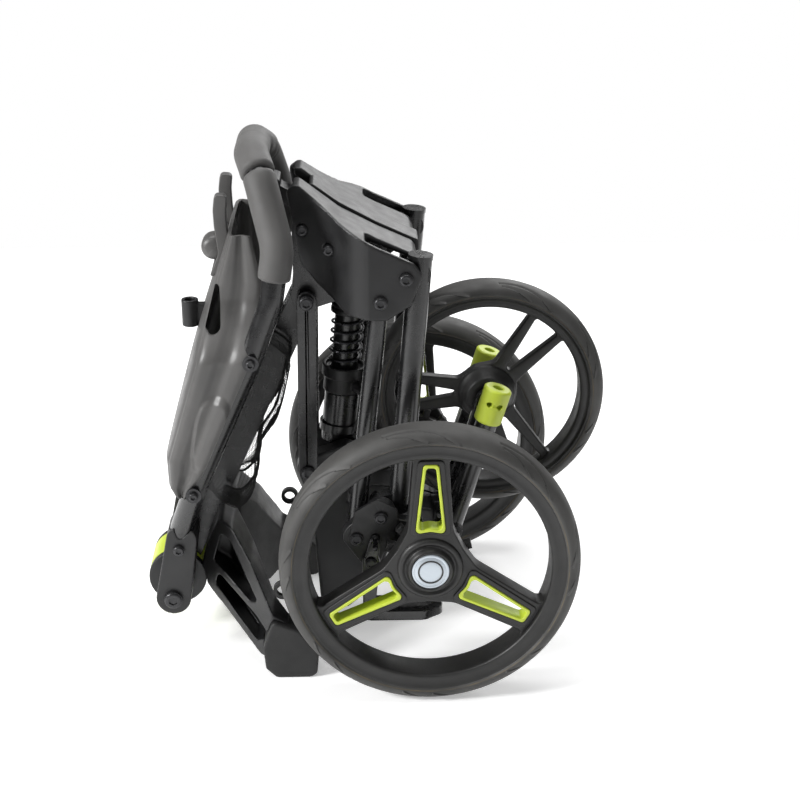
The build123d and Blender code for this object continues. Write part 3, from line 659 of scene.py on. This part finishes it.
# ---------------------------------------------------------------- handle
FOAM_Y, FOAM_LOW = 51.2, 395          # the side grips start beyond this y and above this z
CROWN_Y, CROWN_LOW = 50.8, 440
FOAM_R, CROWN_R = 15.0, 16.0
FINGERS = (-41, -29, -17, 17, 29, 41)


def handle_line():
    points = HANDLE + [(x, -y, z) for x, y, z in reversed(HANDLE)]
    return bent_line(points, HANDLE_BENDS + list(reversed(HANDLE_BENDS)), 1.5)


def domed(share, length):
    """Share of the full radius, which rounds over near both ends of a sleeve."""
    edge = min(share, 1 - share) * length
    return 1 - 0.22 * max(0.0, 1 - edge / 3.0) ** 2


def grips(line):
    for side, sign in SIDES:
        part = np.array([p for p in line if p[1] * sign > FOAM_Y and p[2] > FOAM_LOW])
        if sign > 0:
            part = part[::-1]
        grip = tube("foam_" + side, part, lambda share, way: FOAM_R * domed(share, 110), "grip_foam",
                    "handle", "grip_foam")
        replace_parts(grip, "foam_grip_" + side)
    part = np.array([p for p in line if abs(p[1]) <= CROWN_Y and p[2] > CROWN_LOW])
    heart = np.array((-96.0, 0.0, 430.0))

    def reach(share, way):
        """Finger hollows in the inner face of the crown."""
        at = part[int(share * (len(part) - 1))]
        inward = heart - at
        inward /= np.linalg.norm(inward)
        facing = max(0.0, float(way.dot(inward)))
        wave = 0.0
        for spot in FINGERS:
            wave = max(wave, 1 - ((at[1] - spot) / 5.6) ** 2)
        seam = 0.35 * math.exp(-(at[1] / 0.9) ** 2)
        return CROWN_R * domed(share, 118) - 3.6 * facing ** 0.8 * max(0.0, wave) ** 0.5 - seam

    crown = tube("crown", part, reach, "grip_foam", "handle", "grip_foam", sides=56)
    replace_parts(crown, "crown_grip")


# ---------------------------------------------------------------- console
TOP_Z, LOW_Z = 431.0, 183.0
POD = (-152, 249)                     # (x, z) middle of the raised pod on each side of the tray
WALL = 2.8


def smoothstep(low, high, value):
    f = np.clip((value - low) / (high - low), 0, 1)
    return f * f * (3 - 2 * f)


def console_section(z):
    """Front x, back x and half width of the tray at a height."""
    front = np.interp(z, [183, 186, 194, 221, 341, 431], [-186, -190, -195, -196, -160, -131])
    back = np.interp(z, [183, 208, 326, 350, 386, 431], [-179, -161, -110, -103, -101, -110])
    half = 97 - 33 * smoothstep(318, 372, z) - 3 * smoothstep(208, 183, z)
    return front, back, half


def window_cutter():
    """Bar across the tray in the shape of the drop-shaped windows in its two sides."""
    drop = [(-142.5 + 2.4 * math.cos(a), 382 + 2.4 * math.sin(a))
            for a in np.radians(np.arange(-10, 191, 12))]
    drop += [(-147 + 7.6 * math.cos(a), 350 + 7.6 * math.sin(a))
             for a in np.radians(np.arange(200, 371, 10))]
    count = len(drop)
    corners = [(x, y, z) for y in (-120, 120) for x, z in drop]
    walls = [(i, (i + 1) % count, count + (i + 1) % count, count + i) for i in range(count)]
    ends = [tuple(range(count)), tuple(range(count, 2 * count))]
    return new_object("window_cutter", corners, walls + ends, "console_plastic", "handle",
                      "charcoal_plastic")


def console():
    stations, samples = 230, 100
    controls = [(0, 0), (0.0, 0.45), (0.01, 0.72), (0.05, 0.88), (0.16, 0.97), (0.34, 0.985), (0.5, 0.962),
                (0.62, 0.955), (0.74, 0.985), (0.88, 1.0), (1.0, 0.985)]
    section = curve_through(controls, samples)
    verts, faces = [], []
    for i in range(stations):
        z = LOW_Z + (TOP_Z - LOW_Z) * i / (stations - 1)
        front, back, half = console_section(z)
        bulge = 2.5 * math.sin(math.pi * i / (stations - 1))
        ring = []
        for depth, across in section:
            x = front + (back - front) * depth - bulge * (1 - across ** 2)
            y = across * half
            seam = 0.8 * math.exp(-((depth - 0.085) / 0.022) ** 2) * (1 if across > 0.5 else 0)
            lean = abs(x - POD[0] - 0.195 * (z - POD[1])) / 16
            tall = abs(z - POD[1]) / 38
            pod = 3.6 * smoothstep(1.05, 0.8, (lean ** 3 + tall ** 3) ** (1 / 3)) if across > 0.9 else 0.0
            ring.append((x + seam * 0.6, y - seam + pod, z))
        row = [(x, -y, z) for x, y, z in reversed(ring[1:])] + ring
        verts += row
    wide = 2 * samples - 1
    for i in range(stations - 1):
        for k in range(wide - 1):
            faces.append((i * wide + k, i * wide + k + 1, (i + 1) * wide + k + 1, (i + 1) * wide + k))
    obj = new_object("console", verts, faces, "console_plastic", "handle", "charcoal_plastic")
    thick = obj.modifiers.new("wall", "SOLIDIFY")
    thick.thickness = WALL * MM
    thick.offset = -1.0
    return cut_out(obj, window_cutter())


# ---------------------------------------------------------------- storage net
# (x, z) down the front of the net and down the tray behind it, in mm
NET_LINE = [(-97, 328), (-79, 312), (-84, 288), (-94, 250), (-111, 220), (-114, 182), (-130, 159),
            (-148, 163)]
TRAY_LINE = [(-106, 328), (-110, 312), (-118, 290), (-134, 252), (-147, 222), (-158, 194), (-160, 184),
             (-160, 178)]
MESH_CELL, STRAND = 1.8, 0.5
NET_HALF, NET_INNER, NET_TOP = 58, 22, (-97, 328)
SETTLE_FRAMES, SETTLE_LIMIT = 16, 3.5


def even(points, count):
    """Points evenly spaced along the smooth line through some (x, z) places."""
    smooth = curve_through(points, 400)
    along = np.concatenate([[0], np.cumsum(np.linalg.norm(np.diff(smooth, axis=0), axis=1))])
    marks = np.linspace(0, along[-1], count)
    return np.stack([np.interp(marks, along, smooth[:, k]) for k in range(2)], axis=1), along[-1]


def net_pocket(side, sign):
    """Pocket of net: a side wall from the tray to the front hem and a front wall across to the inner hem."""
    length = even(NET_LINE, 2)[1]
    rows = int(length / MESH_CELL)
    line, back = even(NET_LINE, rows)[0], even(TRAY_LINE, rows)[0]
    wall, front = 14, 21
    columns = wall + front
    verts = []
    for (x, z), (back_x, back_z) in zip(line, back):
        for c in range(columns):
            share = min(1.0, c / wall)
            across = NET_HALF - MESH_CELL * max(0, c - wall)
            verts.append((back_x + (x - back_x) * share, sign * across, back_z + (z - back_z) * share))
    faces = [(r * columns + c, r * columns + c + 1, (r + 1) * columns + c + 1, (r + 1) * columns + c)
             for r in range(rows - 1) for c in range(columns - 1)]
    cloth = new_object("net_" + side, verts, faces, "net_fabric", "handle", "net_fabric")
    start = np.array(verts) * MM
    held = cloth.vertex_groups.new(name="held")
    held.add([i for i in range(len(verts)) if i % columns in (0, columns - 1)
              or i // columns in (0, rows - 1)], 1.0, "REPLACE")
    fabric = cloth.modifiers.new("drape", "CLOTH")
    fabric.settings.vertex_group_mass = "held"
    fabric.settings.mass = 0.02
    fabric.settings.quality = 5
    fabric.settings.shrink_min = -0.06
    fabric.settings.bending_stiffness = 0.05
    fabric.point_cache.frame_start, fabric.point_cache.frame_end = 1, SETTLE_FRAMES
    fabric.collision_settings.use_collision = False
    for step in range(1, SETTLE_FRAMES + 1):
        bpy.context.scene.frame_set(step)
    seen = cloth.evaluated_get(bpy.context.evaluated_depsgraph_get())
    settled = np.array([tuple(v.co) for v in seen.data.vertices])
    cloth.modifiers.clear()
    cloth.vertex_groups.clear()
    bpy.context.scene.frame_set(1)
    shift = settled - start
    size = np.linalg.norm(shift, axis=1)[:, None]
    shift *= np.minimum(1.0, SETTLE_LIMIT * MM / np.maximum(size, 1e-9))
    for vertex, place_m in zip(cloth.data.vertices, start + shift):
        vertex.co = place_m
    strands = cloth.modifiers.new("strands", "WIREFRAME")
    strands.thickness = STRAND * MM
    strands.use_even_offset = False
    top_x, top_z = NET_TOP
    cords = (("net_hem", [(x, sign * NET_INNER, z) for x, z in line[::3]], 1.3),
             ("net_tray_cord", [(x, sign * NET_HALF, z) for x, z in back[::3]], 1.5),
             ("net_rim", [(top_x, sign * y, top_z) for y in range(21, 60, 2)], 2.0),
             ("net_lip", [(top_x - 9 * i / 6, sign * NET_HALF, top_z) for i in range(7)], 2.0))
    hems = [tube(f"{name}_{side}", route, radius, "net_fabric", "handle", "net_fabric", sides=12)
            for name, route, radius in cords]
    return cloth


# ---------------------------------------------------------------- camera, light and floor
AIM = Vector((0.0269, 0.0, 0.2429))
AZIMUTH, ELEVATION, DISTANCE = math.radians(-1.78), math.radians(22.66), 1.577
FLOOR_HALF = 1.3
# (name, place in m, diameter in m, power in W)
LAMPS = (("key", (-2.0, -0.9, 1.3), 0.6, 62), ("top", (0.0, 0.2, 2.0), 1.6, 26),
         ("fill", (1.5, -1.5, 0.7), 1.0, 3), ("back", (0.9, 1.8, 1.3), 1.2, 20))


def camera():
    data = bpy.data.cameras.new("camera")
    data.lens, data.sensor_width = 72.0, 36.0
    obj = bpy.data.objects.new("camera", data)
    away = Vector((math.sin(AZIMUTH) * math.cos(ELEVATION), -math.cos(AZIMUTH) * math.cos(ELEVATION),
                   math.sin(ELEVATION)))
    obj.location = AIM + away * DISTANCE
    obj.rotation_euler = (-away).to_track_quat("-Z", "Y").to_euler()
    bpy.context.scene.collection.objects.link(obj)
    bpy.context.scene.camera = obj


def lamp(name, place_m, size, power):
    data = bpy.data.lights.new(name, "AREA")
    data.shape, data.size, data.energy = "DISK", size, power
    obj = bpy.data.objects.new(name, data)
    obj.location = place_m
    obj.rotation_euler = (AIM - Vector(place_m)).to_track_quat("-Z", "Y").to_euler()
    bpy.context.scene.collection.objects.link(obj)


def white_world():
    """White to the camera and dim to everything else."""
    world = bpy.data.worlds.new("studio")
    world.use_nodes = True
    nodes, links = world.node_tree.nodes, world.node_tree.links
    nodes["Background"].inputs["Color"].default_value = (1.0, 1.0, 1.0, 1.0)
    path = nodes.new("ShaderNodeLightPath")
    glow = nodes.new("ShaderNodeMapRange")
    glow.inputs["To Min"].default_value = 0.2
    glow.inputs["To Max"].default_value = 1.0
    links.new(path.outputs["Is Camera Ray"], glow.inputs["Value"])
    links.new(glow.outputs["Result"], nodes["Background"].inputs["Strength"])
    bpy.context.scene.world = world


def pale_floor():
    mesh = bpy.data.meshes.new("floor")
    half = FLOOR_HALF
    mesh.from_pydata([(-half, -half, 0), (half, -half, 0), (half, half, 0), (-half, half, 0)], [],
                     [(0, 1, 2, 3)])
    floor = bpy.data.objects.new("floor", mesh)
    bpy.context.scene.collection.objects.link(floor)
    pale = bpy.data.materials.new("floor")
    pale.use_nodes = True
    shader = pale.node_tree.nodes["Principled BSDF"]
    shader.inputs["Base Color"].default_value = (0.93, 0.93, 0.93, 1.0)
    shader.inputs["Roughness"].default_value = 0.9
    shader.inputs["Emission Color"].default_value = (1.0, 1.0, 1.0, 1.0)
    shader.inputs["Emission Strength"].default_value = 0.35
    mesh.materials.append(pale)


def studio():
    camera()
    bpy.context.scene.view_settings.view_transform = "Standard"
    for name, place_m, size, power in LAMPS:
        lamp(name, place_m, size, power)
    white_world()
    pale_floor()


# ---------------------------------------------------------------- assembly
def card_holder():
    """Two curved ribs joined by a low plate, with a round knob in front of it."""
    rib = rounded([(-143, 464), (-145, 449), (-144.5, 434), (-143, 420), (-141.5, 408), (-150, 387),
                   (-147, 386), (-128, 406), (-130.5, 418), (-132.5, 432), (-133, 448), (-131.5, 463)],
                  [4, 30, 40, 40, 12, 1, 1, 12, 40, 40, 30, 4], 5)
    for name, low, high in (("card_rib_right", -42, -32), ("card_rib_left", 32, 42)):
        upright = plate(name, [rib], (0, 0), low, high, 1.2, "console_plastic", "handle",
                        "charcoal_plastic")
        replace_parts(upright, "card_holder")
    bridge = rounded([(-141, 418), (-149.5, 388), (-147, 387), (-136.5, 416)], 0.8, 4)
    plate("card_plate", [bridge], (0, 0), -34, 34, 0.6, "console_plastic", "handle", "charcoal_plastic")
    rows = [(0.02, -40), (6.5, -39.6), (10, -38), (11.6, -34), (11.8, -28), (11.6, -20), (10, -16),
            (0.02, -15)]
    lathe("card_knob", rows, (-146, 412), "console_plastic", "handle", "charcoal_plastic", steps=64,
          closed=False)


# (node, look, voxel in mm) of the moulded CAD pieces
MOULDED = (
    ("bracket_ridge_cover", "charcoal_plastic", 1.1), ("cradle_yoke", "charcoal_plastic", 1.2),
    ("hinge_sleeves", "charcoal_plastic", 1.1), ("spine_latch", "charcoal_plastic", 0.8),
    ("brake_pedal", "black_metal", 0.9), ("lock_collar", "charcoal_plastic", 0.7),
    ("tube_boot", "charcoal_plastic", 0.7), ("fork_blades", "black_metal", 1.0),
    ("arm_caps", "lime_plastic", 0.7), ("accessory_socket", "charcoal_plastic", 0.6),
    ("hinge_drum", "charcoal_plastic", 1.0))

# (node, look, edge radius in mm) of the machined and drawn CAD pieces
EDGED = (
    ("inner_tube", "black_metal", 0.4), ("outer_tube", "black_metal", 0.6),
    ("bag_arms", "black_metal", 0.4), ("side_bars", "black_metal", 0.5),
    ("spine_tube", "black_metal", 0.5), ("bracket_core", "black_metal", 0.5),
    ("handle_tube", "black_metal", 0.0), ("frame_pins", "steel", 0.6),
    ("bracket_screws", "steel", 0.5), ("housing_pins", "steel", 0.6),
    ("handle_bolts", "steel", 0.6), ("front_axle", "steel", 0.6),
    ("fork_pivot_pin", "steel", 0.6), ("fork_sleeves", "charcoal_plastic", 0.8),
    ("coil_spring", "spring_steel", 0.0), ("drum_ring", "lime_plastic", 0.5),
    ("cradle_straps", "strap_webbing", 0.3))

# nodes whose pins get a socket on each outer end, and the body they ride on
PINS = (
    ("frame_pins", "mid_frame"), ("bracket_screws", "mid_frame"), ("housing_pins", "front_housing"),
    ("handle_bolts", "handle"), ("fork_pivot_pin", "front_frame"),
    ("carrier_pins_right", "carrier_right"), ("carrier_pins_left", "carrier_left"),
    ("front_axle", "front_frame"))


def cad_finishes():
    for side, _ in SIDES:
        mould("bracket_shell_" + side, "charcoal_plastic", 1.3, 5)
        mould("front_housing_" + side, "charcoal_plastic", 1.3, 5)
        mould("wheel_carrier_" + side, "charcoal_plastic", 1.1, 5)
        soften("carrier_cover_" + side, "charcoal_plastic", 0.8)
        soften("carrier_pins_" + side, "steel", 0.6)
        soften("leg_tube_" + side, "black_metal", 0.6)
        soften("leg_strut_" + side, "black_metal", 0.6)
        mould("cradle_pad_" + side, "pad_rubber", 1.2, 6)
    for node, look, voxel in MOULDED:
        mould(node, look, voxel, 4)
    for node, look, width in EDGED:
        soften(node, look, width)


def main():
    cad_finishes()
    for side, sign in SIDES:
        rear_wheel(side, sign)
    front_wheel()
    grips(handle_line())
    tray = console()
    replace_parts(tray, "console_shell")
    for side, sign in SIDES:
        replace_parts(net_pocket(side, sign), "storage_net")
    card_holder()
    for node, body in PINS:
        pin_sockets(node, body)
    studio()


main()
